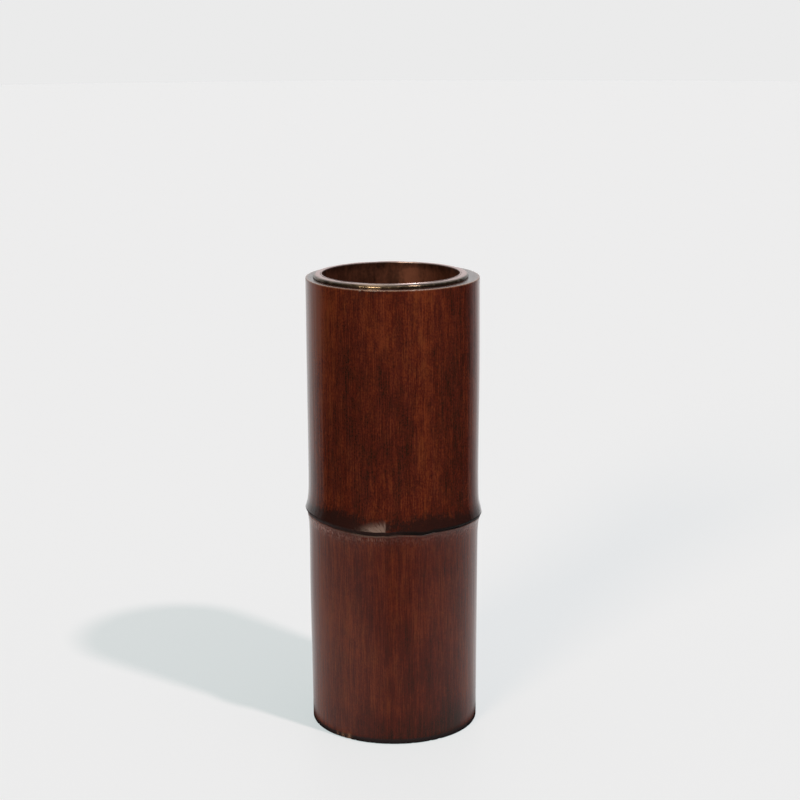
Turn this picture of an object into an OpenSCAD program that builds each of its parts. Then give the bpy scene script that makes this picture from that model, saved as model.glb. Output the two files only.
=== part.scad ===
// Bamboo vase: one length of culm, sawn square, with a single node half way up.
// A copper liner hangs by its rim in the upper hollow and lifts straight out.
// Millimetres, +Z up. The origin is the middle of the foot, on the ground.

/* [Culm] */
// Height from the foot to the sawn mouth
culm_h = 261; // [200:0.5:350]
// Outside diameter at the mouth
mouth_d = 98; // [80:0.5:125]
// Outside diameter of the upper internode, just above the node
upper_waist_d = 97.5; // [80:0.5:125]
// Outside diameter of the lower internode, just below the node
lower_waist_d = 97; // [80:0.5:125]
// Outside diameter at the foot
foot_d = 95.8; // [80:0.5:125]
// Thickness of the wall at the mouth
mouth_wall = 7.5; // [5:0.25:12]
// Thickness of the wall of the upper hollow, just above the node
upper_wall = 8; // [5:0.25:12]
// Thickness of the wall of the lower hollow, just below the node
lower_wall = 8.75; // [5:0.25:12]
// Thickness of the wall at the foot
foot_wall = 9; // [5:0.25:12]
// How far both hollows lie off the middle of the culm, to the left
heart_shift = 1; // [0:0.25:2]
// Chamfer round the sawn edges
edge_chamfer = 0.5; // [0.2:0.1:1.5]

/* [Node] */
// Height of the node's ridge above the foot
node_z = 125.4; // [90:0.1:170]
// How far the ridge stands out from the upper internode
ridge_rise = 2.05; // [0.8:0.05:5]
// How far the swelling that carries the ridge stands out from the upper internode
swell_rise = 0.6; // [0.3:0.05:2]
// Height over which the upper internode swells towards the ridge
upper_swell_h = 8; // [4:0.5:14]
// Height over which the shoulder under the ridge eases into the lower internode
shoulder_h = 8; // [4:0.5:14]
// Height over which the ridge flares out of the swelling
ridge_flare = 6; // [3:0.1:10]
// Height of the rounded crest, from the ridge down to the crease under it
crest_h = 1.8; // [0.6:0.1:3]
// Height of the crease
crease_h = 0.6; // [0.3:0.1:1.5]
// Depth of the crease
crease_depth = 0.5; // [0.2:0.05:1.2]
// Height of the sloping face that the sheath left, under the crease
scar_h = 2.2; // [1:0.1:5]
// How far the lip of that face stands back from the ridge
scar_setback = 0.7; // [0.5:0.05:1]
// How far the foot of that face stands proud of the swelling
scar_step = 0.2; // [0.1:0.05:0.6]
// How far the ring climbs towards the left, in degrees
ring_climb_left = 1.8; // [0:0.1:4]
// How far the ring climbs towards the front, in degrees
ring_climb_front = 0.9; // [0:0.1:4]
// How far round to the left of the front the bud was pared off the ridge, in degrees
bud_turn = 15; // [-60:1:60]
// Radius of the shallow hollow that the paring left
bud_scar_r = 80; // [40:5:200]
// Height of the middle of that hollow above the ridge
bud_scar_z = 2; // [-2:0.5:10]
// Depth of that hollow, where it is deepest
bud_scar_depth = 0.8; // [0.2:0.05:1.5]
// Thickness of the diaphragm that closes the culm at the node
diaphragm_t = 5; // [2:0.25:10]
// Radius where the diaphragm runs into the wall
diaphragm_fillet = 8; // [3:0.5:14]

/* [Liner] */
// Room between the liner and the wall of its hollow, where the hollow is narrowest
liner_clearance = 1.15; // [0.5:0.05:4]
// Height of the liner's base above the curve of the diaphragm
base_clearance = 1.6; // [0.5:0.1:40]
// Thickness of the liner's sheet
liner_sheet = 0.8; // [0.5:0.1:1.5]
// How far the rim reaches out over the sawn mouth, from the edge of the hollow
rim_seat = 2.3; // [1.5:0.1:4]
// Thickness of the rim
rim_t = 2.2; // [1.5:0.1:5]
// Radius on the upper outer corner of the rim
rim_round = 0.5; // [0.3:0.1:1.4]
// Height of the flange turned up round the base
base_flange_h = 5; // [3:0.5:12]
// Radius of the bend between the base and its flange
base_bend = 2; // [1.6:0.1:3]
// Room for solder between two pieces of the liner
solder_gap = 0.05; // [0.02:0.01:0.15]

/* [Hidden] */

$fn = 96;
SWELL_STEPS = 10;
FLARE_STEPS = 10;
CREST_STEPS = 5;
ARC_STEPS = 8;
SWELL_POWER = 1.6;      // how steeply the internodes come up to the swelling
FLARE_POWER = 1.4;      // how steeply the ridge comes out of the swelling
SWELL_SPAN = 2.4;       // a swelling has died away at this many times its height
SINK = 0.3;             // how far the top of the ridge's flare is sunk in the swelling
CREST_ROUND = 0.6;      // how far the crest falls back before the crease
CUT = 1;                // how far a cutter runs past the face it cuts

// Radii of the node, and of the hollow at both its ends
waist_r = upper_waist_d / 2;
ridge_r = waist_r + ridge_rise;
swell_r = waist_r + swell_rise;
crease_foot = crest_h + crease_h;
scar_foot = crease_foot + scar_h;
mouth_hollow_r = mouth_d / 2 - mouth_wall;
waist_hollow_r = waist_r - upper_wall;

diaphragm_top = node_z + diaphragm_t / 2;
diaphragm_foot = node_z - diaphragm_t / 2;

// The liner hangs from the mouth, clear of the wall and of the diaphragm
tube_r = min(mouth_hollow_r, waist_hollow_r) - liner_clearance;
liner_bore_r = tube_r - liner_sheet;
rim_top = culm_h + rim_t;
base_foot = diaphragm_top + diaphragm_fillet + base_clearance;
liner_h = rim_top - base_foot;

CULM_BROWN = "#5e2b1b";
COPPER = "#a5694f";

// Share of a swelling that is left at a distance from its top
function ease(distance, length, power) = exp(-pow(distance / length, power));

// Radius of each internode without its swelling at the node
function upper_r(z) =
    (upper_waist_d + (mouth_d - upper_waist_d) * (z - node_z) / (culm_h - node_z)) / 2;
function lower_r(z) = (foot_d + (lower_waist_d - foot_d) * z / node_z) / 2;

// Radius of an internode at a distance from the top of its swelling
function swollen_r(plain_r, distance, length) =
    plain_r + (swell_r - plain_r) * ease(distance, length, SWELL_POWER);

// Points of a quarter circle about a middle, from one angle to another
function arc(middle, radius, from, to) = [
    for (i = [0:ARC_STEPS])
        let (angle = from + (to - from) * i / ARC_STEPS)
        middle + radius * [cos(angle), sin(angle)]
];

// Both internodes, swelling towards the node, sawn square and chamfered at the ends
module internodes() {
    shoulder_z = node_z - scar_foot;
    rotate_extrude() polygon(concat(
        [[0, 0], [foot_d / 2 - edge_chamfer, 0], [foot_d / 2, edge_chamfer]],
        [for (i = [SWELL_STEPS:-1:0])
            let (drop = shoulder_h * SWELL_SPAN * pow(i / SWELL_STEPS, SWELL_POWER))
            [swollen_r(lower_r(shoulder_z - drop), drop, shoulder_h), shoulder_z - drop]],
        [for (i = [0:SWELL_STEPS])
            let (climb = upper_swell_h * SWELL_SPAN * pow(i / SWELL_STEPS, SWELL_POWER))
            [swollen_r(upper_r(node_z + climb), climb, upper_swell_h), node_z + climb]],
        [[mouth_d / 2, culm_h - edge_chamfer], [mouth_d / 2 - edge_chamfer, culm_h], [0, culm_h]]
    ));
}

// Lays a ring that is drawn about the origin round the node, climbing as the node does
module at_node() {
    translate([0, 0, node_z]) rotate([-ring_climb_front, ring_climb_left, 0]) children();
}

// The ridge: a long flare above, a rounded crest, and the sheath scar under it, which is a crease and
// then a face that slopes in to the shoulder
module ridge() {
    rotate_extrude() polygon(concat(
        [
            [0, -scar_foot],
            [swell_r + scar_step, -scar_foot],
            [ridge_r - scar_setback, -crease_foot],
            [ridge_r - CREST_ROUND - crease_depth, -crest_h - crease_h / 2]
        ],
        [for (i = [CREST_STEPS:-1:1])
            let (angle = 90 * i / CREST_STEPS)
            [ridge_r - CREST_ROUND * (1 - cos(angle)), -crest_h * sin(angle)]],
        [for (i = [0:FLARE_STEPS])
            let (climb = ridge_flare * SWELL_SPAN * pow(i / FLARE_STEPS, FLARE_POWER))
            [waist_r - SINK + (ridge_rise + SINK) * ease(climb, ridge_flare, FLARE_POWER), climb]],
        [[0, ridge_flare * SWELL_SPAN]]
    ));
}

// The shallow hollow that is left on the ridge where the bud was pared off
module bud_scar() {
    reach = ridge_r - bud_scar_depth + bud_scar_r;
    rotate([0, 0, -bud_turn]) translate([0, -reach, bud_scar_z]) sphere(r = bud_scar_r);
}

// The hollow above the diaphragm, which the liner hangs in
module upper_hollow() {
    rotate_extrude() polygon(concat(
        [[0, diaphragm_top]],
        arc([waist_hollow_r - diaphragm_fillet, diaphragm_top + diaphragm_fillet],
            diaphragm_fillet, -90, 0),
        [[mouth_hollow_r, culm_h], [mouth_hollow_r, culm_h + CUT], [0, culm_h + CUT]]
    ));
}

// The hollow below the diaphragm, open at the foot
module lower_hollow() {
    head_r = lower_waist_d / 2 - lower_wall;
    rotate_extrude() polygon(concat(
        [[0, -CUT], [foot_d / 2 - foot_wall, -CUT]],
        arc([head_r - diaphragm_fillet, diaphragm_foot - diaphragm_fillet],
            diaphragm_fillet, 0, 90),
        [[0, diaphragm_foot]]
    ));
}

module culm() {
    color(CULM_BROWN)
        difference() {
            union() {
                internodes();
                at_node() ridge();
            }
            at_node() bud_scar();
            translate([-heart_shift, 0, 0]) {
                upper_hollow();
                lower_hollow();
            }
        }
}

// Sheet rolled into a tube, its upper edge level with the top of the rim
module liner_tube() {
    color(COPPER)
        translate([-heart_shift, 0, base_foot])
            difference() {
                cylinder(r = tube_r, h = liner_h);
                translate([0, 0, -CUT]) cylinder(r = liner_bore_r, h = liner_h + 2 * CUT);
            }
}

// Dished disc let into the foot of the tube, its flange turned up
module liner_base() {
    base_r = liner_bore_r - solder_gap;
    bend_middle = [base_r - base_bend, base_bend];
    color(COPPER)
        translate([-heart_shift, 0, base_foot])
            rotate_extrude() polygon(concat(
                [[0, 0]],
                arc(bend_middle, base_bend, -90, 0),
                [[base_r, base_flange_h], [base_r - liner_sheet, base_flange_h]],
                arc(bend_middle, base_bend - liner_sheet, 0, -90),
                [[0, liner_sheet]]
            ));
}

// Ring soldered round the mouth of the tube, resting on the sawn end of the culm
module liner_rim() {
    inner_r = tube_r + solder_gap;
    outer_r = mouth_hollow_r + rim_seat;
    color(COPPER)
        translate([-heart_shift, 0, culm_h])
            rotate_extrude() polygon(concat(
                [[inner_r, 0], [outer_r, 0]],
                arc([outer_r - rim_round, rim_t - rim_round], rim_round, 0, 90),
                [[inner_r, rim_t]]
            ));
}

culm();
liner_tube();
liner_base();
liner_rim();
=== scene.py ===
import math

import bpy
import numpy as np
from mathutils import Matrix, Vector, noise


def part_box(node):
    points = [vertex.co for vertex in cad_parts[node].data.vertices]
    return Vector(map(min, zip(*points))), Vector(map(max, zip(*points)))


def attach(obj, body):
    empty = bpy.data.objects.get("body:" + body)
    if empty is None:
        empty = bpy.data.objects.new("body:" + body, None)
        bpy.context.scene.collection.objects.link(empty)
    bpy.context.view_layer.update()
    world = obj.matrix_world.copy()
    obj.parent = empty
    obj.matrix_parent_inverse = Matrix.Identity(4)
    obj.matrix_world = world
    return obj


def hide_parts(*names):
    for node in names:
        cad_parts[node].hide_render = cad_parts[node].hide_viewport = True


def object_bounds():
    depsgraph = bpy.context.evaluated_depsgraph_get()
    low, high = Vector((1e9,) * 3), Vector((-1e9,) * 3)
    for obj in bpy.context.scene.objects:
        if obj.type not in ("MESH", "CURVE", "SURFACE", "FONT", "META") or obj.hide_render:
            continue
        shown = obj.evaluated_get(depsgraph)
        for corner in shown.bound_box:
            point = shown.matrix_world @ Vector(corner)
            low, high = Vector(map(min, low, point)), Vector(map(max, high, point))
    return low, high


bl_info = {
    "name": "Bamboo vase",
    "version": (1, 0, 0),
    "blender": (4, 5, 0),
    "location": "3D View > Sidebar > Vase",
    "description": "Builds the look of a bamboo vase and its copper liner round the packed part",
    "category": "Add Mesh",
}

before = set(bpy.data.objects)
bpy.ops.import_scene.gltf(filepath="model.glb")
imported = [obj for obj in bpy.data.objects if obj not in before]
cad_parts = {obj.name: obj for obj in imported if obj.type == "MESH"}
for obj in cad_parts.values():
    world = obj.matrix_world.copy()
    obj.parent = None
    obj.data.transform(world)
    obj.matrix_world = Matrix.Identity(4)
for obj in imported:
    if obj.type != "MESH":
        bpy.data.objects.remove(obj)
CAD_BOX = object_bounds()
LINER_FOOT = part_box("liner_tube")[0].z
MOUTH_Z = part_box("culm")[1].z
RIM_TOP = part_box("liner_rim")[1].z

MM = 0.001
TURN = 2 * math.pi


# ---------------------------------------------------------------- sizes and colours

def length(name, description, default, low, high):
    """A size that a user may change, in metres."""
    return bpy.props.FloatProperty(
        name=name, description=description, default=default, min=low, max=high, unit="LENGTH")


def tint(name, description, default):
    """A colour that a user may change."""
    return bpy.props.FloatVectorProperty(
        name=name, description=description, default=default, min=0, max=1, subtype="COLOR")


class VASE_PG_culm(bpy.types.PropertyGroup):
    mouth_r: length(
        "Mouth radius", "Outside radius at the sawn mouth", 0.049, 0.04, 0.06)
    waist_r: length(
        "Waist radius", "Outside radius just above the node", 0.04875, 0.04, 0.06)
    lower_r: length(
        "Lower waist radius", "Outside radius just below the node", 0.0484, 0.04, 0.06)
    foot_r: length(
        "Foot radius", "Outside radius at the sawn foot", 0.0479, 0.04, 0.06)
    mouth_bore: length(
        "Mouth bore", "Radius of the upper hollow at the mouth", 0.0415, 0.03, 0.05)
    waist_bore: length(
        "Waist bore", "Radius of the upper hollow just above the node", 0.04075, 0.03, 0.05)
    lower_bore: length(
        "Lower bore", "Radius of the lower hollow just below the node", 0.03975, 0.03, 0.05)
    foot_bore: length(
        "Foot bore", "Radius of the lower hollow at the foot", 0.0389, 0.03, 0.05)
    node_z: length(
        "Node height", "Mean height of the node's ridge above the foot", 0.1254, 0.09, 0.17)
    ridge_rise: length(
        "Ridge rise", "How far the ridge stands out from the upper internode",
        0.0019, 0.0008, 0.003)
    heart_shift: length(
        "Heart shift", "How far the hollows lie to the left of the middle", 0.001, 0.0, 0.002)
    bud_turn: bpy.props.FloatProperty(
        name="Bud turn", description="Turn from the front to the right edge of the pared bud",
        default=math.radians(-5), min=-1.0, max=1.0, subtype="ANGLE")
    skin_dark: tint(
        "Dark skin", "Darkest red-brown of the smoked skin", (0.023, 0.0066, 0.0034))
    skin_mid: tint(
        "Skin", "Common red-brown of the smoked skin", (0.062, 0.0094, 0.0048))
    skin_light: tint(
        "Light skin", "Orange-brown of the thin places in the stain", (0.128, 0.0250, 0.0080))
    # at the foot this colour is also painted contact shade
    soot: tint(
        "Soot", "Black-brown of the darkened bands at the node and the sawn ends",
        (0.0185, 0.0066, 0.0052))
    # partly the bare wood's colour and partly a painted highlight in the pared facet
    pared: tint(
        "Pared bud", "Grey-brown of the wood where the bud was pared off", (0.15, 0.085, 0.068))


class VASE_PG_liner(bpy.types.PropertyGroup):
    tube_r: length(
        "Tube radius", "Outside radius of the liner's tube", 0.0396, 0.03, 0.045)
    sheet: length(
        "Sheet", "Thickness of the copper sheet", 0.0008, 0.0005, 0.0015)
    rim_r: length(
        "Rim radius", "Outside radius of the rim", 0.0438, 0.035, 0.05)
    rubbed: tint(
        "Rubbed copper", "Pale pinkish copper where the rim is rubbed", (0.52, 0.39, 0.375))
    patina: tint(
        "Patina", "Red-brown of the aged copper", (0.135, 0.045, 0.025))
    rim_patina: tint(
        "Rim patina", "Golden brown of the rim's side", (0.155, 0.105, 0.066))


class VASE_PG_stage(bpy.types.PropertyGroup):
    paper: tint(
        "Paper", "Pale grey of the floor and of the background", (0.83, 0.83, 0.83))
    room: bpy.props.FloatProperty(
        name="Room light", description="Strength of the even light all round",
        default=0.30, min=0, max=2)
    key: bpy.props.FloatProperty(
        name="Key light", description="Strength of the lamp at the front right",
        default=1.6, min=0, max=5)
    fill: bpy.props.FloatProperty(
        name="Fill light", description="Strength of the soft lamp at the front left",
        default=1.2, min=0, max=5)


# ---------------------------------------------------------------- the shape of the node

def bump(degrees, middle, width):
    """Share of a smooth bump round the culm, by the angle from the front."""
    gap = (degrees - middle + 180) % 360 - 180
    return math.exp(-(gap / width) ** 2)


def smooth(low, high, value):
    """0 below low, 1 above high, and an even curve between them."""
    share = min(1.0, max(0.0, (value - low) / (high - low)))
    return share * share * (3 - 2 * share)


def crest_height(turn):
    """Height of the ridge's crest over the crease of the sheath scar, in millimetres."""
    return 1.65 - 0.5 * math.sin(turn) + 0.15 * math.cos(turn)


# Unevenness of the crease, by the angle from the front in degrees, in millimetres
CREASE_WAVE = [
    (-180, 0.2), (-150, -0.15), (-120, 0.2), (-90, 0.5), (-65, 0.55), (-50, 0.1), (-38, -0.5),
    (-28, -0.8), (-20, -1.35), (-13, -1.3), (-5, -0.7), (5, 0.35), (12, 0.25), (19, -0.25),
    (28, 0.85), (42, 1.15), (52, 1.3), (62, 1.6), (72, 1.4), (92, 0.8), (125, 0.1),
    (155, 0.35), (180, 0.2)]


def crease_climb(turn):
    """Height of the crease over its mean, in millimetres, at an angle from the front."""
    degrees = math.degrees(turn)
    plane = 0.65 - 1.5 * math.sin(turn) + 0.75 * math.cos(turn)
    for (left, low), (right, high) in zip(CREASE_WAVE, CREASE_WAVE[1:]):
        if left <= degrees <= right:
            return plane + low + (high - low) * smooth(left, right, degrees)


def soot_height(degrees):
    """How far over the crease the blackened band reaches, in millimetres."""
    return 8.4 + 3.4 * bump(degrees, -36, 14) + 3.0 * bump(degrees, 24, 17)


# All in millimetres
CREST_REF = 2.4          # height of the crest over the crease in the straight profile
CLIMB_REACH = 26.0       # how far from the node the climb of the ring is felt
FILLET = 8.0             # radius where the diaphragm runs into the wall
HALF_DIAPHRAGM = 2.5     # half of its thickness, where the fillet starts
SKIN_R = 46.2            # the skin, and the sawn edges beside it, lie further out than this
EDGE_R = 48.3            # where the painted glint on the corner of the mouth's sawn edge begins
EDGE_WEAR = 1.4          # how far from a sawn end its edge is chipped
# Height over the peak of the ridge, and share of the ridge's rise that is left there
FLARE = [
    (0, 1), (0.3, 0.985), (0.7, 0.94), (1.1, 0.89), (1.6, 0.83), (2.1, 0.765), (2.6, 0.7),
    (3.1, 0.63), (3.7, 0.55), (4.4, 0.465), (5.1, 0.39), (6, 0.305), (7, 0.23), (8, 0.175),
    (9.2, 0.125), (10.6, 0.085), (12.5, 0.05), (15, 0.027), (18, 0.012), (22, 0)]
# Depth under the peak of the ridge, and how far the surface stands back from the ridge there
CREST = [
    (0.15, 0.01), (0.4, 0.05), (0.7, 0.13), (1.0, 0.25), (1.3, 0.39), (1.6, 0.54), (1.9, 0.69),
    (2.1, 0.8), (2.25, 0.92), (2.36, 1.08), (2.46, 1.16), (2.58, 1.12), (2.7, 0.98),
    (2.86, 0.91), (3.1, 0.91), (3.4, 0.96), (3.8, 1.06), (4.3, 1.19), (5.0, 1.35), (5.8, 1.5),
    (6.8, 1.65), (8, 1.8), (9.5, 1.94), (11.5, 2.06), (14, 2.16), (17, 2.22), (21, 2.25)]
# Radius, and how far each face of the diaphragm lies from the node's height there
DIAPHRAGM = [(0.0, 2.1), (8, 2.15), (16, 2.3), (24, 2.4)]


def bore_at(sizes, height):
    """Radius of the hollow at a height, in millimetres."""
    node, top = sizes.node_z / MM, MOUTH_Z / MM
    if height < node:
        low, high, share = sizes.foot_bore, sizes.lower_bore, height / node
    else:
        low, high, share = sizes.waist_bore, sizes.mouth_bore, (height - node) / (top - node)
    return (low + (high - low) * share) / MM


def along(start, end, shares):
    """Points of an outline at shares of the straight way from one point to another."""
    return [tuple(a + (b - a) * share for a, b in zip(start, end)) for share in shares]


def arc(middle, radius, first, last, steps):
    """Points of an outline round a middle, from one angle to another in degrees."""
    angles = [math.radians(first + (last - first) * i / steps) for i in range(steps + 1)]
    return [(middle[0] + radius * math.cos(angle), middle[1] + radius * math.sin(angle))
            for angle in angles]


def outer_profile(sizes):
    """Radius and height of the culm's outside from the foot to the mouth, in millimetres."""
    node = sizes.node_z / MM
    ridge = (sizes.waist_r + sizes.ridge_rise) / MM
    foot, lower, waist, mouth = (r / MM for r in (
        sizes.foot_r, sizes.lower_r, sizes.waist_r, sizes.mouth_r))
    top = MOUTH_Z / MM
    points = [(foot - 0.8, 0.0), (foot - 0.5, 0.06), (foot - 0.26, 0.24), (foot - 0.1, 0.52),
              (foot, 1.0), (foot, 1.9)]
    low_end, high_end = node - CREST[-1][0], node + FLARE[-1][0]
    points += along((foot, 1.9), (lower, low_end), [(i + 0.6) / 20 for i in range(20)])
    points += [(ridge - back, node - depth) for depth, back in reversed(CREST)]
    points += [(waist + (ridge - waist) * share, node + climb) for climb, share in FLARE]
    points += along((waist, high_end), (mouth, top - 1.4), [(i + 0.6) / 22 for i in range(22)])
    points += [(mouth, top - 0.7), (mouth - 0.03, top - 0.35), (mouth - 0.13, top - 0.12),
               (mouth - 0.3, top - 0.015), (mouth - 0.5, top)]
    return points


def culm_profile(sizes):
    """The whole outline from the diaphragm's upper face to its lower face, in millimetres."""
    node, top = sizes.node_z / MM, MOUTH_Z / MM
    outside = outer_profile(sizes)
    waist, mouth, lower, foot = (r / MM for r in (
        sizes.waist_bore, sizes.mouth_bore, sizes.lower_bore, sizes.foot_bore))
    upper_z, lower_z = node + HALF_DIAPHRAGM + FILLET, node - HALF_DIAPHRAGM - FILLET

    points = [(radius, node + half) for radius, half in DIAPHRAGM]
    points += arc((waist - FILLET, upper_z), FILLET, -90, 0, 8)
    points += along((waist, upper_z), (mouth, top - 0.4), [i / 12 for i in range(1, 12)])
    points += [(mouth, top - 0.4), (mouth + 0.1, top - 0.12), (mouth + 0.35, top)]
    points += along(points[-1], outside[-1], [i / 6 for i in range(1, 6)])
    points += reversed(outside)
    points += along(outside[0], (foot + 0.35, 0.0), [i / 5 for i in range(1, 5)])
    points += [(foot + 0.35, 0.0), (foot + 0.1, 0.12), (foot, 0.4)]
    points += along((foot, 0.4), (lower, lower_z), [i / 11 for i in range(1, 11)])
    points += arc((lower - FILLET, lower_z), FILLET, 0, 90, 8)
    points += [(radius, node - half) for radius, half in reversed(DIAPHRAGM)]
    return points


# ---------------------------------------------------------------- modelling by hand, in code

def deselect():
    bpy.ops.object.select_all(action="DESELECT")


def spin_outline(name, outline, steps, closed=False):
    """Draws an outline of (radius, height) in millimetres from one point and spins it round."""
    deselect()
    bpy.ops.mesh.primitive_plane_add(size=MM, location=(0, 0, 0))
    piece = bpy.context.object
    piece.name = name
    piece.data.name = name
    bpy.ops.object.mode_set(mode="EDIT")
    bpy.ops.mesh.merge(type="CENTER")
    here = Vector((outline[0][0], 0, outline[0][1])) * MM
    bpy.ops.transform.translate(value=here)
    for radius, height in outline[1:]:
        there = Vector((radius, 0, height)) * MM
        bpy.ops.mesh.extrude_region_move(TRANSFORM_OT_translate={"value": there - here})
        here = there
    bpy.ops.mesh.select_all(action="SELECT")
    if closed:
        bpy.ops.mesh.edge_face_add()
        bpy.ops.mesh.delete(type="ONLY_FACE")
        bpy.ops.mesh.select_all(action="SELECT")
    bpy.ops.mesh.spin(steps=steps, angle=TURN, center=(0, 0, 0), axis=(0, 0, 1))
    bpy.ops.mesh.select_all(action="SELECT")
    bpy.ops.mesh.remove_doubles(threshold=0.00001)
    bpy.ops.mesh.normals_make_consistent(inside=False)
    bpy.ops.object.mode_set(mode="OBJECT")
    return piece


def points_of(piece):
    """Every point of a piece, in millimetres."""
    flat = np.empty(len(piece.data.vertices) * 3)
    piece.data.vertices.foreach_get("co", flat)
    return flat.reshape(-1, 3) / MM


def work_points(piece, change):
    """Moves every point of a piece, in millimetres, by change(point)."""
    moved = np.array([change(p) for p in points_of(piece)])
    piece.data.vertices.foreach_set("co", (moved * MM).ravel())
    piece.data.update()


def mark_points(piece, marks):
    """Gives each point the values that marks(point) returns by name, for the materials to read."""
    rows = [marks(p) for p in points_of(piece)]
    for name in rows[0]:
        layer = piece.data.attributes.new(name, "FLOAT", "POINT")
        layer.data.foreach_set("value", np.array([row[name] for row in rows], np.float32))


def shade(piece, degrees):
    """Smooths a piece's shading, but for edges sharper than an angle."""
    deselect()
    bpy.context.view_layer.objects.active = piece
    piece.select_set(True)
    bpy.ops.object.shade_smooth_by_angle(angle=math.radians(degrees))


def give_material(piece, material, chosen):
    """Adds a material and gives it to the faces for which chosen(middle, normal) is true."""
    piece.data.materials.append(material)
    index = len(piece.data.materials) - 1
    for face in piece.data.polygons:
        if chosen(face.center / MM, face.normal):
            face.material_index = index


def ring_noise(turn, fineness, height, seed=0.0):
    """Noise round the culm without a seam, from -1 to 1."""
    side, front = math.sin(turn) * fineness, math.cos(turn) * fineness
    return noise.noise(Vector((side, front, height + seed)))


# ---------------------------------------------------------------- materials

class Shader:
    """A material's nodes, added one at a time and wired by the names of their sockets."""

    def __init__(self, tree):
        self.tree = tree
        tree.nodes.clear()

    def add(self, kind, inputs=None, **settings):
        made = self.tree.nodes.new(kind)
        for key, value in settings.items():
            setattr(made, key, value)
        for key, value in (inputs or {}).items():
            self.put(made.inputs[key], value)
        return made

    def put(self, socket, value):
        if isinstance(value, bpy.types.NodeSocket):
            self.tree.links.new(value, socket)
        elif isinstance(value, bpy.types.Node):
            self.tree.links.new(value.outputs[0], socket)
        else:
            socket.default_value = value

    def math(self, operation, *values):
        made = self.add("ShaderNodeMath", operation=operation)
        for socket, value in zip(made.inputs, values):
            self.put(socket, value)
        return made.outputs[0]

    def times(self, *values):
        product = values[0]
        for value in values[1:]:
            product = self.math("MULTIPLY", product, value)
        return product

    def noise(self, width, length, detail=2.0, rough=0.5, shift=(0, 0, 0), warp=0.0):
        """Noise with spots of a width round the culm and a length along it, in millimetres."""
        where = self.add("ShaderNodeTexCoord").outputs["Object"]
        scale = (1 / (width * MM), 1 / (width * MM), 1 / (length * MM))
        placed = self.add("ShaderNodeMapping", {"Vector": where, "Location": shift, "Scale": scale})
        return self.add("ShaderNodeTexNoise", {
            "Vector": placed, "Scale": 1.0, "Detail": detail,
            "Roughness": rough, "Distortion": warp}).outputs["Fac"]

    def weigh(self, start, *pairs):
        """A start value, plus each noise about its middle times its weight."""
        total = start
        for value, weight in pairs:
            total = self.math("ADD", total, self.math("MULTIPLY_ADD", value, weight, -0.5 * weight))
        return total

    def band(self, value, low, high, out_low=0.0, out_high=1.0, soft=True):
        """One number up to low, another above high, and a curve or a straight line between."""
        return self.add("ShaderNodeMapRange", {
            "Value": value, "From Min": low, "From Max": high,
            "To Min": out_low, "To Max": out_high},
            interpolation_type="SMOOTHSTEP" if soft else "LINEAR").outputs[0]

    def mix(self, share, first, second, blend="MIX"):
        made = self.add("ShaderNodeMix", data_type="RGBA", blend_type=blend)
        self.put(made.inputs[0], share)
        self.put(made.inputs[6], first)
        self.put(made.inputs[7], second)
        return made.outputs[2]

    def ramp(self, value, stops):
        made = self.add("ShaderNodeValToRGB", {"Fac": value})
        ramp = made.color_ramp
        while len(ramp.elements) < len(stops):
            ramp.elements.new(0.5)
        for element, (place, colour) in zip(ramp.elements, stops):
            element.position = place
            element.color = colour
        return made.outputs["Color"]

    def mark(self, name):
        """A value that the mesh carries at each point."""
        return self.add("ShaderNodeAttribute", attribute_name=name).outputs["Fac"]

    def relief(self, height, strength, distance, under=None):
        inputs = {"Height": height, "Strength": strength, "Distance": distance}
        if under is not None:
            inputs["Normal"] = under
        return self.add("ShaderNodeBump", inputs).outputs[0]

    def finish(self, colour, rough, normal=None, **inputs):
        surface = self.add("ShaderNodeBsdfPrincipled", {"Base Color": colour, "Roughness": rough})
        for key, value in inputs.items():
            self.put(surface.inputs[key.replace("_", " ")], value)
        if normal is not None:
            self.put(surface.inputs["Normal"], normal)
        self.add("ShaderNodeOutputMaterial", {"Surface": surface})


def new_material(name):
    material = bpy.data.materials.new(name)
    material.use_nodes = True
    return material, Shader(material.node_tree)


def rgba(colour):
    return (*colour, 1.0)


# Colours of small things on the culm; a pair is the darkest and the lightest of its fibres
BROWN_TINT = (0.95, 1.12, 1.05, 1)
FRAYED_FIBRE = (0.25, 0.125, 0.105, 1)
# the next two colours paint highlights under the crease: a line along the lip and short strokes
LIP_HIGHLIGHT = (0.13, 0.06, 0.045, 1)
SHOULDER_GLINT = (0.2, 0.12, 0.1, 1)
CREASE_BLACK_AND_SHADE = (0.004, 0.003, 0.003, 1)
FOOT_DARK_AND_SHADE = (0.017, 0.013, 0.014, 1)
BARE_SKIN_AND_GLINT = (0.22, 0.105, 0.06, 1)
SCAR_BROWN = (0.013, 0.0050, 0.0045, 1), (0.034, 0.0125, 0.0105, 1)
SCAR_BLACK = (0.005, 0.0035, 0.003, 1), (0.014, 0.0065, 0.0055, 1)
SAWN_WOOD = (0.030, 0.0125, 0.0095, 1), (0.064, 0.026, 0.019, 1)
SAWN_VESSEL = (0.012, 0.006, 0.005, 1)
SAWN_EDGE_AND_GLINT = (0.24, 0.13, 0.095, 1)
PITH = (0.16, 0.085, 0.04, 1), (0.30, 0.18, 0.09, 1)
PITH_CLOUD = (0.10, 0.05, 0.025, 1)


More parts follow.
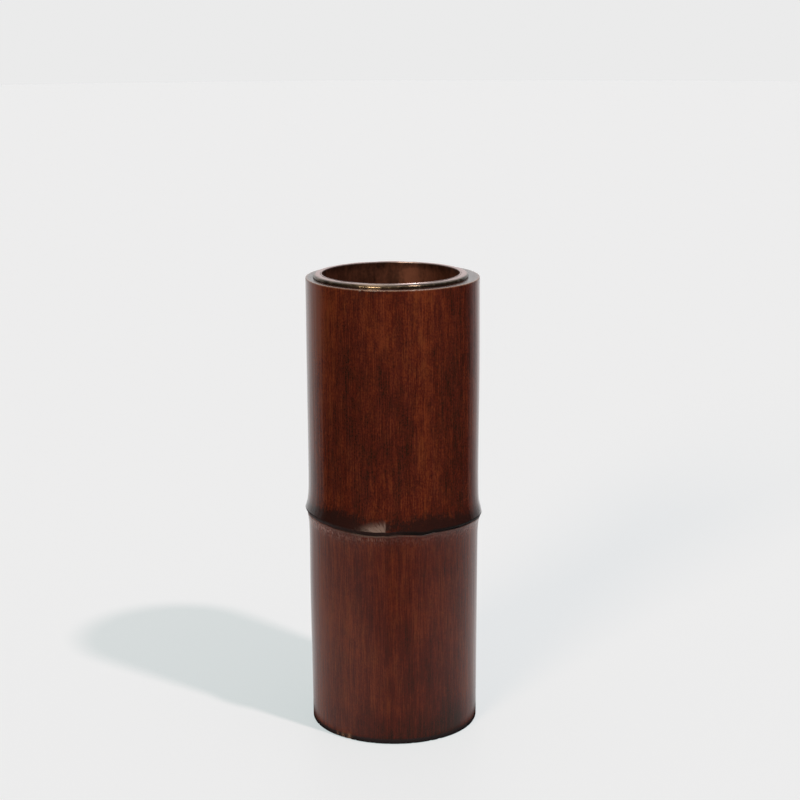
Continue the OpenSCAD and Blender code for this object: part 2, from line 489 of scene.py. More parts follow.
def lacquered_skin(sizes):
    """Smoked skin under thin gloss lacquer: streaks, mottling, darkened bands, the pared bud, and
    painted highlights, sheen and shade.
    """
    material, s = new_material("lacquered_skin")
    over = s.mark("over_crease")
    fibre = s.noise(0.5, 15, detail=3, rough=0.6)
    rib = s.noise(1.7, 70, detail=2, shift=(2, 2, 9))
    streak = s.noise(3.2, 45, detail=3, rough=0.55, shift=(3.1, 0.4, 0), warp=0.3)
    blotch = s.noise(4.2, 6.5, detail=4, rough=0.62, shift=(0, 7.7, 2.0), warp=0.5)
    cloud = s.noise(17, 27, detail=2, shift=(5, 1, 8))
    fleck = s.noise(0.8, 1.25, detail=2, rough=0.65, shift=(8, 3, 1))
    # the upper internode is mottled, the lower one streaked
    mottled = s.band(over, -2, 8, 0.5, 1.0)
    patches = s.times(s.weigh(0.0, (blotch, 0.85), (fleck, 1.2), (fibre, 0.6)), mottled)
    tone = s.weigh(s.math("ADD", s.mark("stain_and_sheen"), patches),
                   (fibre, 0.95), (streak, 0.8), (cloud, 0.55))
    colour = s.ramp(tone, [
        (0.0, rgba(sizes.skin_dark)), (0.5, rgba(sizes.skin_mid)), (1.0, rgba(sizes.skin_light))])
    # some patches are browner and less red
    brown = s.band(s.noise(5.5, 11, detail=3, rough=0.6, shift=(6, 6, 1)), 0.45, 0.62, 0.0, 0.6)
    colour = s.mix(brown, colour, s.mix(1.0, colour, BROWN_TINT, blend="MULTIPLY"))

    # under the crease: pale frayed fibres, a painted highlight along the lip, and short painted
    # glints below it
    frayed = s.band(s.noise(1.0, 1.5, detail=3, shift=(1, 1, 5)), 0.44, 0.6)
    fray = s.times(s.mark("frayed"), frayed)
    colour = s.mix(fray, colour, FRAYED_FIBRE)
    # painted highlight: a lighter line just under the crease, where the lip's shoulder would catch
    # the light
    lip_highlight = s.times(s.band(over, -1.5, -1.1), s.band(over, -0.75, -0.45, 1, 0),
                  s.band(s.noise(0.7, 4, detail=3), 0.38, 0.62, 0.15, 0.7))
    colour = s.mix(lip_highlight, colour, LIP_HIGHLIGHT)
    # painted glints: short pale strokes a little lower, at two places near the front
    shoulder_glints = s.times(s.band(over, -3.9, -3.0), s.band(over, -1.8, -1.3, 1, 0), s.mark("shoulder_glints"),
                    s.band(s.noise(0.5, 6, detail=1, shift=(4, 4, 4)), 0.52, 0.62, 0, 0.7))
    colour = s.mix(shoulder_glints, colour, SHOULDER_GLINT)

    # soot is thick over the crease and frays out along the fibres
    ragged = s.weigh(s.mark("soot"), (s.noise(0.9, 4.5, detail=3, shift=(9, 2, 4)), 7.0),
                     (s.noise(3.4, 3.2, detail=3, rough=0.6, shift=(3, 3, 3)), 12.0))
    sooty = s.band(ragged, -3.4, 3.2, 0.93, 0)
    colour = s.mix(sooty, colour, rgba(sizes.soot))
    # a black line in the crease: partly dark lacquer pooled there, partly painted shade under the
    # scar's lip
    line = s.times(s.band(over, -0.6, -0.3), s.band(over, 0.3, 0.7, 1, 0), s.mark("scorch"))
    colour = s.mix(line, colour, CREASE_BLACK_AND_SHADE)
    # a dark band round the foot: partly the dark edge of the foot, partly painted contact shade
    # where the foot meets the floor
    where = s.add("ShaderNodeTexCoord").outputs["Object"]
    height = s.add("ShaderNodeSeparateXYZ", {"Vector": where}).outputs[2]
    foot = s.band(height, 2.2 * MM, 3.8 * MM, 0.94, 0)
    colour = s.mix(foot, colour, FOOT_DARK_AND_SHADE)

    # the bud's foot, pared to a fan of pale wood with dark strokes between; the pale colour is
    # partly the bare wood and partly a painted highlight of the soft lamp in the pared facet
    fan_w, fan_h, fan_foot = 16.5, 7.2, 1.9
    left, up = s.mark("bud_left"), s.mark("bud_up")
    angle = s.math("ARCTAN2", up, left)
    long = s.math("DIVIDE", left, fan_w)
    tall = s.math("MULTIPLY_ADD", up, 1 / fan_h, -fan_foot / fan_h)
    reach = s.math("SQRT", s.math("ADD", s.times(long, long), s.times(tall, tall)))
    polar = s.add("ShaderNodeCombineXYZ", {"X": s.times(angle, 7.0), "Y": s.times(reach, 0.9)})
    stroke = s.add("ShaderNodeTexNoise", {
        "Vector": polar, "Scale": 1.0, "Detail": 3.0}).outputs["Fac"]
    stroke = s.math("SUBTRACT", stroke, s.times(reach, 0.1))
    fan = s.times(s.band(left, -0.5, 0.5), s.band(up, 1.8, 2.6), s.band(reach, 0.45, 1.12, 1, 0))
    pared_wood_and_glint = s.times(fan, s.band(stroke, 0.24, 0.46, 0.15, 1))
    colour = s.mix(pared_wood_and_glint, colour, rgba(sizes.pared))

    # the lacquer is gone at the chips; the pale line along the mouth's sawn edge is a painted glint
    wear_and_glint = s.times(s.mark("wear_and_glint"), s.band(s.noise(0.9, 0.9, detail=2), 0.35, 0.6, 0.25, 1))
    colour = s.mix(wear_and_glint, colour, BARE_SKIN_AND_GLINT)

    # the gloss is dulled where the wood is bare, and in the crease
    rough = s.band(s.noise(4, 60, detail=3, shift=(1, 6, 3)), 0.3, 0.7, 0.10, 0.17)
    crease = s.times(s.band(over, -1.9, -0.9), s.band(over, 0.3, 1.0, 0.3, 0))
    dulled = s.math("MAXIMUM", s.times(pared_wood_and_glint, 0.2), s.times(wear_and_glint, 0.3))
    rough = s.math("ADD", rough, s.math("MAXIMUM", dulled, crease))
    normal = s.relief(fibre, 0.22, 0.00012)
    normal = s.relief(rib, 0.35, 0.00022, normal)
    normal = s.relief(s.weigh(0.5, (fleck, 0.6), (fray, 0.7)), 0.12, 0.00012, normal)
    s.finish(colour, rough, normal, IOR=1.5)
    return material


def scorched_scar():
    """The dull black face between the ridge's crest and the crease of the sheath scar."""
    material, s = new_material("scorched_scar")
    fibre = s.noise(0.6, 2.5, detail=3)
    brown, black = (s.mix(s.band(fibre, 0.35, 0.7), *pair) for pair in (SCAR_BROWN, SCAR_BLACK))
    colour = s.mix(s.mark("scorch"), brown, black)
    s.finish(colour, 0.6, s.relief(fibre, 0.35, 0.0002), IOR=1.5, Specular_IOR_Level=0.12)
    return material


def sawn_end():
    """Cut fibres under lacquer: dark stained wood with the dots of the vessels."""
    material, s = new_material("sawn_end")
    where = s.add("ShaderNodeTexCoord").outputs["Object"]
    per_vessel = 1 / (1.1 * MM)
    flat = s.add("ShaderNodeMapping", {"Vector": where, "Scale": (per_vessel, per_vessel, 0)})
    dots = s.add("ShaderNodeTexVoronoi", {"Vector": flat, "Scale": 1.0, "Randomness": 0.8})
    dot = s.band(dots.outputs["Distance"], 0.2, 0.42, 1, 0)
    grain = s.noise(2.2, 2.2, detail=3)
    colour = s.mix(s.band(grain, 0.3, 0.7), *SAWN_WOOD)
    colour = s.mix(s.times(dot, 0.7), colour, SAWN_VESSEL)
    # bare wood at the chips; the pale line along the mouth's edge is a painted glint
    colour = s.mix(s.times(s.mark("wear_and_glint"), 0.8), colour, SAWN_EDGE_AND_GLINT)
    saw = s.noise(0.35, 5, detail=2)
    normal = s.relief(s.math("SUBTRACT", saw, s.times(dot, 0.6)), 0.22, 0.00012)
    s.finish(colour, s.band(grain, 0.3, 0.7, 0.14, 0.24), normal, IOR=1.5)
    return material


def culm_lining():
    """The natural pith side of the wall, tan and dull, with faint streaks."""
    material, s = new_material("culm_lining")
    streak = s.noise(1.6, 50, detail=3)
    cloud = s.noise(14, 30, detail=3)
    colour = s.mix(s.band(streak, 0.3, 0.7), *PITH)
    colour = s.mix(s.times(s.band(cloud, 0.4, 0.7), 0.6), colour, PITH_CLOUD)
    s.finish(colour, 0.62, s.relief(streak, 0.3, 0.0003), IOR=1.5)
    return material


def aged_copper(name, sizes, patina, metal, roughness):
    """Brown copper with darker bloom, water streaks and bright rubbed edges; the marked tone also
    carries painted highlights.
    """
    material, s = new_material(name)
    bloom = s.noise(7, 11, detail=5, rough=0.6, warp=0.4)
    streak = s.noise(2.6, 40, detail=3, shift=(4, 4, 0))
    tone = s.weigh(s.mark("stain_and_sheen"), (bloom, 1.3), (streak, 0.6), (s.noise(1.2, 1.6, detail=2), 0.6))
    dark = tuple(0.32 * value for value in patina)
    light = tuple(min(1.0, 1.9 * value) for value in patina)
    colour = s.ramp(tone, [(0.0, rgba(dark)), (0.5, rgba(patina)), (1.0, rgba(light))])
    rubbed = s.mark("rubbed")
    colour = s.mix(rubbed, colour, rgba(sizes.rubbed))
    rough = s.band(rubbed, 0, 1, roughness, 0.38, soft=False)
    metal = s.band(rubbed, 0, 1, metal, 0.95, soft=False)
    dents = s.noise(6, 7, detail=2, shift=(7, 0, 1))
    normal = s.relief(dents, 0.35, 0.0006)
    normal = s.relief(s.noise(0.5, 0.9, detail=3), 0.12, 0.0001, normal)
    s.finish(colour, rough, normal, Metallic=metal)
    return material


# ---------------------------------------------------------------- the pieces

def climbing_ring(sizes):
    """Gives the change that lays the straight ring round the culm as it grew."""
    node = sizes.node_z / MM

    def change(height, turn):
        """Height of a point of the straight profile once the ring climbs and the crest swells."""
        over = height - node
        swell = crest_height(turn) - CREST_REF
        felt = 1 - smooth(4, CLIMB_REACH, abs(over))
        fall = swell * smooth(0, CREST_REF, -over) * (1 - smooth(4, CLIMB_REACH, -over))
        return height + (crease_climb(turn) + swell) * felt - fall
    return change


def bud_place(sizes, turn, radius, over_crease):
    """How far a point is left of the bud's right edge and over the crease, in millimetres."""
    left = (sizes.bud_turn - turn) * radius
    return max(-30.0, min(40.0, left)), max(-20.0, min(30.0, over_crease))


def foot_chips(degrees):
    """How much of the foot's edge is chipped away at an angle from the front."""
    return bump(degrees, -33, 1.8) + 0.8 * bump(degrees, -38, 1.3) + 0.6 * bump(degrees, -43, 1.0)


def soot_edge(degrees, over, z):
    """How far a point is outside the soot at the node and the mouth, and outside the dark band at
    the foot, which is partly painted contact shade, in millimetres.
    """
    node = over - soot_height(degrees)
    node += max(0.0, -0.4 - node) * bump(degrees, 1, 9)
    if over < -0.25:
        # under the crease there is soot only at the right
        node = 3.0 * (-0.25 - over) + 12 * (1 - bump(degrees, 46, 26))
    reach = 3.6 * bump(degrees, -13, 14) + 1.5 * bump(degrees, 60, 20) - 2.2
    mouth = 1.1 * (MOUTH_Z / MM - z - reach)
    # at the foot the dark band is partly the dark edge of the foot and partly painted contact shade
    foot = 5 * (z - 1.6)
    return min(node, mouth, foot)


def stain_and_sheen_at(degrees, over, z):
    """How light the skin is, from 0 to 1, with a painted sheen on the left and right sides; over is
    the height over the crease, z over the foot.
    """
    # lighter towards the mouth, and darker at the very foot
    high = smooth(200, 252, z) * (1 - bump(degrees, 60, 24))
    low = 1 - smooth(-8, 0, over)
    foot = (1 - smooth(7, 26, z)) * smooth(-55, 5, degrees) * (1 - 0.7 * bump(degrees, 75, 22))
    low -= 3.0 * foot
    orange = bump(degrees, 20, 8) * smooth(0, 12, over)
    orange -= 0.45 * bump(degrees, 46, 14) * (1 - low)
    warm_left = bump(degrees, -35, 25) * low
    # painted sheen: the left and right sides of the culm are lighter
    raised = smooth(190, 240, z)
    painted_side_sheen = (1 + 0.7 * raised) * bump(degrees, -66, 18)
    painted_side_sheen += (0.9 - 0.6 * raised) * bump(degrees, 70, 15) + 1.5 * raised * bump(degrees, 80, 7)
    return 0.44 + 0.24 * high + 0.09 * low + 0.22 * orange + 0.13 * warm_left + 0.3 * painted_side_sheen


def shape_culm(piece, sizes):
    """Marks the skin, lays the ring, shifts the hollows, pares the bud and wears the edges."""
    node, top = sizes.node_z / MM, MOUTH_Z / MM
    crease = node - CREST_REF
    lift = climbing_ring(sizes)
    heart = sizes.heart_shift / MM
    limit = CAD_BOX[1].x / MM - 0.02     # no point goes past the side of the CAD model's box

    def marks(p):
        x, y, z = p
        radius, turn = math.hypot(x, y), math.atan2(x, -y)
        if radius < SKIN_R:
            return {"over_crease": 99.0, "soot": 99.0, "scorch": 0.0, "stain_and_sheen": 0.5, "frayed": 0.0,
                    "shoulder_glints": 0.0, "wear_and_glint": 0.0, "bud_left": -30.0, "bud_up": 30.0}
        degrees = math.degrees(turn)
        over = z - crease
        frayed = 0.1 + 0.85 * bump(degrees, -62, 24) + 0.5 * bump(degrees, 72, 22)
        # painted glint: a pale line along the rounded corner of the mouth's sawn edge; the same mark
        # carries the real wear of the chips
        edge = smooth(0.5, 0.1, abs(top - 0.12 - z)) if radius > EDGE_R else 0.0
        chips = foot_chips(degrees) * (1 - smooth(1.5, 4.0, z))
        left, up = bud_place(sizes, turn, radius, over)
        return {
            "over_crease": over,
            "soot": soot_edge(degrees, over, z),
            "scorch": 0.15 + 0.85 * smooth(-2, 14, degrees) * (1 - smooth(130, 175, degrees)),
            "stain_and_sheen": stain_and_sheen_at(degrees, over, z),
            "frayed": frayed * math.exp(-((over + 3.2) / 2.6) ** 2),
            "shoulder_glints": bump(degrees, -16, 10) + 0.5 * bump(degrees, 33, 9),
            "wear_and_glint": max(edge, min(1.0, chips)),
            "bud_left": left,
            "bud_up": up,
        }

    def change(p):
        x, y, z = p
        radius = math.hypot(x, y)
        if radius < 1e-6:
            return (-heart, y, z)
        turn = math.atan2(x, -y)
        bore = bore_at(sizes, z)
        x -= heart * (1 - smooth(bore, bore + 5, radius))
        if radius < SKIN_R:
            return (x, y, z)
        side = math.sin(turn)
        # the culm is a little out of round, and its internodes bulge as they grew
        away = smooth(14, 34, abs(z - node))
        grow = away * (0.06 * math.sin(2 * turn + 0.6) - 0.05 * math.sin(3 * turn + 2.0))
        grow += (0.08 + 0.3 * max(0, side) ** 2) * math.exp(-((z - 212) / 40) ** 2)
        grow += (0.05 + 0.4 * max(0, -side) ** 2) * math.exp(-((z - 76) / 40) ** 2)
        grow += 0.05 * ring_noise(turn, 9, z / 60) + 0.022 * ring_noise(turn, 24, z / 80, 7)
        # the flare is steeper on the left than on the right, and the scar deeper
        above = z - node
        if above > 0:
            grow += 0.16 * side * math.exp(-((above - 3.2) / 2.6) ** 2)
        else:
            grow += 0.25 * side * math.exp(-((above + 2.6) / 1.8) ** 2)
        # the crest and the scar are uneven, as grown
        grow += 0.08 * ring_noise(turn, 14, z / 3) * math.exp(-((above + 2) / 4) ** 2)
        # the bud was pared away just over the crease
        left, up = bud_place(sizes, turn, radius, z - crease)
        facet = 1 - ((left - 8) / 10) ** 2 - ((up - 2.6) / 5.6) ** 2
        grow -= 0.7 * max(0.0, facet)
        # the sawn edges are chipped here and there
        edge = min(z, top - z)
        if edge < EDGE_WEAR:
            nick = ring_noise(turn, 22, 5 if z > node else 1)
            grow -= max(0, nick - 0.28) * 1.1 * (1 - smooth(0, EDGE_WEAR, edge))
        if z < 3.6:
            grow -= 0.5 * min(1.0, foot_chips(math.degrees(turn))) * (1 - smooth(0.8, 3.6, z))
        wide = min(limit, radius + grow) / radius
        return (x * wide, y * wide, lift(z, turn))

    mark_points(piece, marks)
    work_points(piece, change)


class VASE_OT_culm(bpy.types.Operator):
    """Build the lacquered culm with its climbing node, pared bud, hollows and sawn ends"""
    bl_idname = "vase.culm"
    bl_label = "Culm"

    def execute(self, context):
        sizes = context.scene.vase_culm
        piece = spin_outline("bamboo_culm", culm_profile(sizes), steps=480)
        node, top = sizes.node_z / MM, MOUTH_Z / MM

        # faces are told apart by their place in the straight profile, before it is shaped
        def scar(middle, normal):
            straight = node - 2.35 < middle.z < node + 0.25
            return straight and math.hypot(middle.x, middle.y) > SKIN_R

        def inside(middle, normal):
            flat = abs(normal.z) > 0.9 and not 0.3 < middle.z < top - 0.3
            return not flat and math.hypot(middle.x, middle.y) < bore_at(sizes, middle.z) + 0.04

        def sawn(middle, normal):
            return not 0.2 < middle.z < top - 0.2 and not inside(middle, normal)

        give_material(piece, lacquered_skin(sizes), lambda middle, normal: True)
        give_material(piece, scorched_scar(), scar)
        give_material(piece, sawn_end(), sawn)
        give_material(piece, culm_lining(), inside)
        shape_culm(piece, sizes)
        shade(piece, 50)
        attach(piece, "culm")
        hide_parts("culm")
        return {"FINISHED"}


LINER_SHIFT = 1.0        # how far the liner hangs to the left of the middle, in millimetres


def finish_liner_piece(piece, material, node, rubbed, stain_and_sheen=lambda degrees, z: 0.5):
    """Rubs a piece of the liner bright, marks its stain and painted highlights, and hangs it in the
    frame.
    """
    mark_points(piece, lambda p: {
        name: mark(math.degrees(math.atan2(p[0], -p[1])), p[2])
        for name, mark in (("rubbed", rubbed), ("stain_and_sheen", stain_and_sheen))})
    give_material(piece, material, lambda middle, normal: True)
    shade(piece, 40)
    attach(piece, "liner")
    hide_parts(node)


class VASE_OT_liner(bpy.types.Operator):
    """Build the copper liner: tube with its soldered seam, dished base and thick rim"""
    bl_idname = "vase.liner"
    bl_label = "Liner"

    def execute(self, context):
        sizes = context.scene.vase_liner
        copper = aged_copper(
            "aged_copper", sizes, tuple(sizes.patina), metal=0.62, roughness=0.37)
        rim_copper = aged_copper(
            "rim_copper", sizes, tuple(sizes.rim_patina), metal=0.85, roughness=0.26)
        self.tube(sizes, copper)
        self.base(sizes, copper)
        self.rim(sizes, rim_copper)
        return {"FINISHED"}

    def tube(self, sizes, copper):
        outer, bore = sizes.tube_r / MM, (sizes.tube_r - sizes.sheet) / MM
        foot, top = LINER_FOOT / MM, RIM_TOP / MM
        levels = [foot + 0.15 + (top - 0.55 - foot) * i / 30 for i in range(31)]
        outline = [(bore + 0.15, foot)] + [(outer, z) for z in levels]
        outline += [(outer - 0.05, top - 0.2), (outer - 0.2, top - 0.03), (outer - 0.4, top - 0.02),
                    (bore + 0.1, top - 0.12)]
        outline += [(bore, top - drop) for drop in (0.4, 0.8, 2.2)]
        outline += [(bore, z) for z in reversed(levels[:-1])]
        piece = spin_outline("copper_tube", outline, steps=320, closed=True)
        seam = math.radians(168)

        def change(p):
            x, y, z = p
            radius = math.hypot(x, y)
            turn = math.atan2(x, -y)
            gap = abs((turn - seam + math.pi) % TURN - math.pi) * radius
            up = smooth(foot + 20, top, z)
            grow = 0.12 * up * math.sin(2 * turn + 0.9) * (1 - smooth(top - 6, top - 2, z))
            grow += 0.1 * noise.noise(Vector((x / 12, y / 12, z / 16)))
            # the soldered seam stands proud inside
            if radius < bore + 0.3:
                grow -= 0.22 * (1 - smooth(1.6, 2.8, gap))
            scale = (radius + grow) / radius
            return (x * scale - LINER_SHIFT, y * scale, z)
        work_points(piece, change)

        def stain_and_sheen(degrees, z):
            """The copper is darkest round the top and darker at the back left; the warm patch high
            on the back wall inside is a painted reflection of the soft lamp.
            """
            # painted reflection: a warm patch high on the back wall inside
            painted_glow = bump(degrees, 164, 7) + 0.45 * bump(degrees, 146, 11)
            painted_glow *= 1 - smooth(top - 5, top - 1.5, z)
            dark = 0.3 * smooth(top - 5, top - 1, z)
            return 0.5 - dark + 0.75 * painted_glow - 0.2 * bump(degrees, -145, 35)

        finish_liner_piece(piece, copper, "liner_tube",
                           lambda degrees, z: 0.9 * smooth(top - 0.7, top - 0.1, z), stain_and_sheen)

    def base(self, sizes, copper):
        bore = (sizes.tube_r - sizes.sheet) / MM - 0.15
        foot, bend, sheet, flange = LINER_FOOT / MM, 2.0, sizes.sheet / MM, 5.0
        middle = (bore - bend, foot + bend)
        outline = [(0.0, foot + 0.02), (12, foot + 0.01), (24, foot)]
        outline += arc(middle, bend, -90, 0, 6)
        outline += [(bore, foot + flange - 0.3), (bore - 0.15, foot + flange - 0.04),
                    (bore - sheet / 2, foot + flange), (bore - sheet + 0.1, foot + flange - 0.08),
                    (bore - sheet, foot + flange - 0.35)]
        outline += arc(middle, bend - sheet, 0, -90, 5)
        outline += [(24, foot + sheet), (12, foot + sheet + 0.02), (0.0, foot + sheet + 0.05)]
        piece = spin_outline("copper_base", outline, steps=160)

        def change(p):
            x, y, z = p
            dish = 0.35 * noise.noise(Vector((x / 14, y / 14, 3)))
            flat = 1 - smooth(26, 34, math.hypot(x, y))
            return (x - LINER_SHIFT, y, z + max(0.0, dish + 0.1) * flat)
        work_points(piece, change)
        finish_liner_piece(piece, copper, "liner_base", lambda degrees, z: 0.0)

    def rim(self, sizes, copper):
        inner, outer = sizes.tube_r / MM + 0.02, sizes.rim_r / MM
        low, top = MOUTH_Z / MM + 0.02, RIM_TOP / MM
        outline = [(inner + 0.3, low), (inner + 1.6, low), (outer - 1.2, low), (outer - 0.35, low),
                   (outer - 0.08, low + 0.1), (outer, low + 0.3), (outer, low + 0.6),
                   (outer - 0.03, low + 0.78), (outer - 0.09, low + 0.95), (outer - 0.27, low + 1.4),
                   (outer - 0.36, top - 0.7), (outer - 0.52, top - 0.56), (outer - 0.8, top - 0.43),
                   (outer - 1.3, top - 0.27), (outer - 1.8, top - 0.13), (outer - 2.2, top - 0.04),
                   (outer - 2.6, top), (outer - 3.0, top), (inner + 0.7, top - 0.01),
                   (inner + 0.4, top - 0.06), (inner + 0.1, top - 0.2), (inner, top - 0.5),
                   (inner, low + 0.3)]
        piece = spin_outline("copper_rim", outline, steps=360, closed=True)

        def change(p):
            x, y, z = p
            radius = math.hypot(x, y)
            turn = math.atan2(x, -y)
            high = smooth(low + 0.4, top, z)
            wave, small = ring_noise(turn, 3.4, 7), ring_noise(turn, 11, 2)
            z -= high * max(0.0, 0.10 + 0.3 * wave + 0.12 * small)
            edge = smooth(inner + 1.5, outer, radius)
            grow = edge * min(0.0, 0.25 * small + 0.12 * wave - 0.08)
            scale = (radius + grow) / radius
            return (x * scale - LINER_SHIFT, y * scale, z)
        work_points(piece, change)

        def rubbed(degrees, z):
            """The crown is bright; in front the brightness ends nearer its top."""
            front = bump(degrees, 0, 52)
            return smooth(top - 0.6 + 0.32 * front, top - 0.26 + 0.18 * front, z)

        # painted highlight: the rim's side is lighter at the front left, where the soft lamp's gold
        # glint falls
        finish_liner_piece(piece, copper, "liner_rim", rubbed,
                           lambda degrees, z: 0.16 + 0.95 * bump(degrees, -14, 13))


# ---------------------------------------------------------------- the stage

# Both lamps stand at a turn from the front and a climb over the floor; lengths are in metres
KEY = {"turn": math.radians(47), "climb": math.radians(57.8), "away": 1.65, "radius": 0.045,
       "colour": (1.0, 0.965, 0.95)}
FILL = {"turn": math.radians(-28), "climb": math.radians(22), "away": 1.5,
        "spread": math.radians(18), "colour": (1.0, 0.92, 0.72)}
FLOOR_R = 6              # radius of the floor
FLOOR_DROP = 0.0002      # how far the floor lies under the foot, so that their faces don't fight
FLOOR_GLOSS = 0.035      # how much the floor mirrors
LIT_SHARE = (0.46, 0.36, 0.35)     # share of the floor's red, green and blue that takes shadow
CAMERA_AT = (0.0039, -1.078, 0.4361)   # fitted to the photograph, as are its tilt and roll
CAMERA_TILT = math.radians(77.119)
CAMERA_ROLL = math.radians(-0.236)
CAMERA_LENS = 87.3       # in millimetres, on a sensor 36 mm wide
# What the lacquer mirrors is a sheet of paper that lies round the vase, and a backdrop beyond it.
# Both are given by their brightness, by the turn from the front in degrees.
SHEET_NEAR, SHEET_FAR = 0.36, 0.50     # the sheet gives way to the backdrop between these distances
# the sheet is darkest in front; at the left back it is darker where it carries a painted shadow of
# the key lamp
SHEET_ROUND = [
    (-180, 1.0), (-142, 0.67), (-118, 0.46), (-90, 0.34), (-45, 0.27), (-4, 0.07), (20, 0.1),
    (60, 0.28), (95, 0.42), (135, 0.64), (180, 0.9)]
BACKDROP_ROUND = [
    (-180, 0.97), (-150, 0.84), (-125, 0.47), (-100, 0.015), (114, 0.015), (138, 0.43),
    (155, 0.90), (180, 0.96)]


def way_to(place):
    """Direction from the foot to a lamp at a turn from the front and a climb over the floor."""
    turn, climb = place["turn"], place["climb"]
    flat = math.cos(climb)
    return Vector((math.sin(turn) * flat, -math.cos(turn) * flat, math.sin(climb)))


def add_lamps(key, fill):
    """A small lamp near the vase and a soft one far off; each strength is what reaches the foot."""
    deselect()
    bpy.ops.object.light_add(type="POINT", location=way_to(KEY) * KEY["away"])
    near = bpy.context.object
    near.name = "key"
    near.data.energy = key * 4 * math.pi * KEY["away"] ** 2
    near.data.shadow_soft_size = KEY["radius"]
    near.data.color = KEY["colour"]
    bpy.ops.object.light_add(type="SUN", location=way_to(FILL) * FILL["away"])
    far = bpy.context.object
    far.name = "fill"
    far.rotation_euler = (-way_to(FILL)).to_track_quat("-Z", "Y").to_euler()
    far.data.energy = fill
    far.data.angle = FILL["spread"]
    far.data.color = FILL["colour"]


def paper_round(s, direction, brightness):
    """How bright the paper is in a direction, from pairs of a turn in degrees and a brightness."""
    parts = s.add("ShaderNodeSeparateXYZ", {"Vector": direction})
    turn = s.math("ARCTAN2", parts.outputs[0], s.times(parts.outputs[1], -1.0))
    share = s.math("MULTIPLY_ADD", turn, 1 / TURN, 0.5)
    return s.ramp(share, [(d / 360 + 0.5, (b, b, b, 1)) for d, b in brightness])


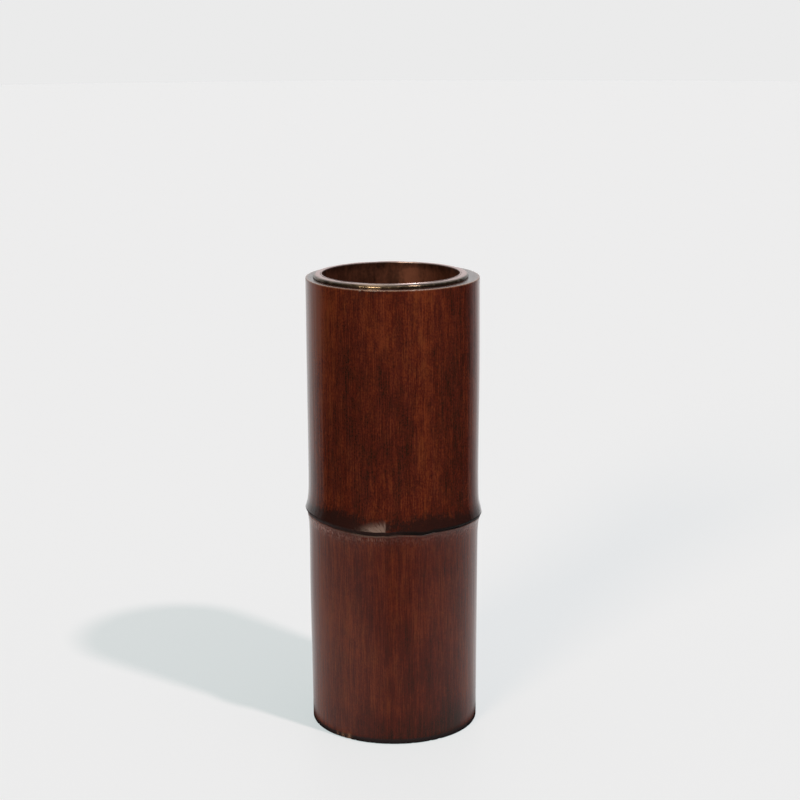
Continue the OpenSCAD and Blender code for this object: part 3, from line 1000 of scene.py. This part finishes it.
class VASE_OT_stage(bpy.types.Operator):
    """Set the pale floor, the soft studio light and the camera"""
    bl_idname = "vase.stage"
    bl_label = "Stage"

    def execute(self, context):
        sizes = context.scene.vase_stage
        self.world(context, sizes)
        self.floor(sizes)
        add_lamps(sizes.key, sizes.fill)
        self.camera(context)
        context.scene.view_settings.view_transform = "Standard"
        return {"FINISHED"}

    def world(self, context, sizes):
        """Even light all round; the camera sees plain paper, and gloss mirrors the studio."""
        world = bpy.data.worlds.new("studio")
        context.scene.world = world
        world.use_nodes = True
        s = Shader(world.node_tree)
        where = s.add("ShaderNodeTexCoord").outputs["Generated"]
        height = s.add("ShaderNodeSeparateXYZ", {"Vector": where}).outputs[2]
        ceiling = s.band(height, 0.62, 0.85, 0.0, 0.15)
        mirrored = s.math("MAXIMUM", paper_round(s, where, BACKDROP_ROUND), ceiling)
        path = s.add("ShaderNodeLightPath")
        even = s.add("ShaderNodeBackground", {"Color": (1, 1, 1, 1), "Strength": sizes.room})
        shine = s.add("ShaderNodeBackground", {"Color": (1, 1, 1, 1), "Strength": mirrored})
        seen = s.add("ShaderNodeBackground", {"Color": rgba(sizes.paper)})
        lit = s.add("ShaderNodeMixShader", {0: path.outputs["Is Glossy Ray"], 1: even, 2: shine})
        lit = s.add("ShaderNodeMixShader", {0: path.outputs["Is Camera Ray"], 1: lit, 2: seen})
        s.add("ShaderNodeOutputWorld", {"Surface": lit})

    def floor(self, sizes):
        """A pale floor that keeps the vase's shadow and is elsewhere as bright as the background."""
        deselect()
        bpy.ops.mesh.primitive_circle_add(
            vertices=96, radius=FLOOR_R, fill_type="NGON", location=(0, 0, -FLOOR_DROP))
        floor = bpy.context.object
        floor.name = "floor"
        material, s = new_material("pale_floor")
        where = s.add("ShaderNodeTexCoord").outputs["Object"]

        # the light that reaches the open floor, from the key lamp, the soft lamp and the room
        away = s.add("ShaderNodeVectorMath", {0: where, 1: way_to(KEY) * KEY["away"]},
                     operation="DISTANCE").outputs["Value"]
        nearness = s.math("POWER", s.math("DIVIDE", KEY["away"], away), 3.0)
        key_light = [sizes.key * share * math.sin(KEY["climb"]) / math.pi
                     for share in KEY["colour"]]
        rest = [sizes.room + sizes.fill * share * math.sin(FILL["climb"]) / math.pi
                for share in FILL["colour"]]
        light = s.add("ShaderNodeVectorMath", {0: key_light, "Scale": nearness}, operation="SCALE")
        light = s.add("ShaderNodeVectorMath", {0: light, 1: rest}, operation="ADD")

        # the camera sees a share that goes dark in shadow, and a share that never does
        taken = [paper * share for paper, share in zip(sizes.paper, LIT_SHARE)]
        evened = s.add("ShaderNodeVectorMath", {0: taken, 1: light}, operation="DIVIDE")
        shadowed = s.add("ShaderNodeBsdfDiffuse", {"Color": evened})
        given = [paper - share - 0.25 * FLOOR_GLOSS for paper, share in zip(sizes.paper, taken)]
        plain = s.add("ShaderNodeEmission", {"Color": rgba(given)})
        gloss = s.add("ShaderNodeBsdfGlossy", {"Color": rgba([FLOOR_GLOSS] * 3), "Roughness": 0.45})
        seen = s.add("ShaderNodeAddShader", {0: plain, 1: shadowed})
        seen = s.add("ShaderNodeAddShader", {0: seen, 1: gloss})

        # the gloss of the vase mirrors the paper, which is dark where the foot shades it
        paper = s.add("ShaderNodeBsdfDiffuse", {"Color": (0.85, 0.85, 0.85, 1)})
        far = s.add("ShaderNodeVectorMath", {0: where}, operation="LENGTH").outputs["Value"]
        near_light = s.band(far, 0.14, 0.32, 0.10, 0.0)
        sheet = s.math("ADD", paper_round(s, where, SHEET_ROUND), near_light)
        backdrop = paper_round(s, where, BACKDROP_ROUND)
        mirrored = s.mix(s.band(far, SHEET_NEAR, SHEET_FAR), sheet, backdrop)
        mirrored = s.times(mirrored, s.band(far, 0.049, 0.059))
        shine = s.add("ShaderNodeEmission", {"Strength": mirrored})

        path = s.add("ShaderNodeLightPath")
        both = s.add("ShaderNodeMixShader", {0: path.outputs["Is Glossy Ray"], 1: paper, 2: shine})
        both = s.add("ShaderNodeMixShader", {0: path.outputs["Is Camera Ray"], 1: both, 2: seen})
        s.add("ShaderNodeOutputMaterial", {"Surface": both})
        floor.data.materials.append(material)

    def camera(self, context):
        """A long lens a metre away and a little over the mouth, as in the photograph."""
        deselect()
        bpy.ops.object.camera_add(location=CAMERA_AT)
        camera = context.object
        camera.name = "camera"
        camera.rotation_euler = (CAMERA_TILT, 0, 0)
        camera.rotation_euler.rotate_axis("Z", CAMERA_ROLL)
        camera.data.sensor_width = 36
        camera.data.lens = CAMERA_LENS
        camera.data.dof.use_dof = False
        camera.data.clip_start, camera.data.clip_end = 0.05, 50
        context.scene.camera = camera


class VASE_PT_panel(bpy.types.Panel):
    """Sizes and colours of the vase, and a button for each piece"""
    bl_idname = "VASE_PT_panel"
    bl_label = "Bamboo vase"
    bl_space_type = "VIEW_3D"
    bl_region_type = "UI"
    bl_category = "Vase"

    def draw(self, context):
        for group, operator in (("vase_culm", "vase.culm"), ("vase_liner", "vase.liner"),
                                ("vase_stage", "vase.stage")):
            box = self.layout.box()
            settings = getattr(context.scene, group)
            for name in settings.__annotations__:
                box.prop(settings, name)
            box.operator(operator)


CLASSES = (VASE_PG_culm, VASE_PG_liner, VASE_PG_stage, VASE_OT_culm, VASE_OT_liner,
           VASE_OT_stage, VASE_PT_panel)
GROUPS = {"vase_culm": VASE_PG_culm, "vase_liner": VASE_PG_liner, "vase_stage": VASE_PG_stage}


def register():
    for made in CLASSES:
        bpy.utils.register_class(made)
    for name, group in GROUPS.items():
        setattr(bpy.types.Scene, name, bpy.props.PointerProperty(type=group))


def unregister():
    for name in GROUPS:
        delattr(bpy.types.Scene, name)
    for made in reversed(CLASSES):
        bpy.utils.unregister_class(made)


def main():
    register()
    bpy.ops.vase.culm()
    bpy.ops.vase.liner()
    bpy.ops.vase.stage()


if __name__ == "__main__":
    main()
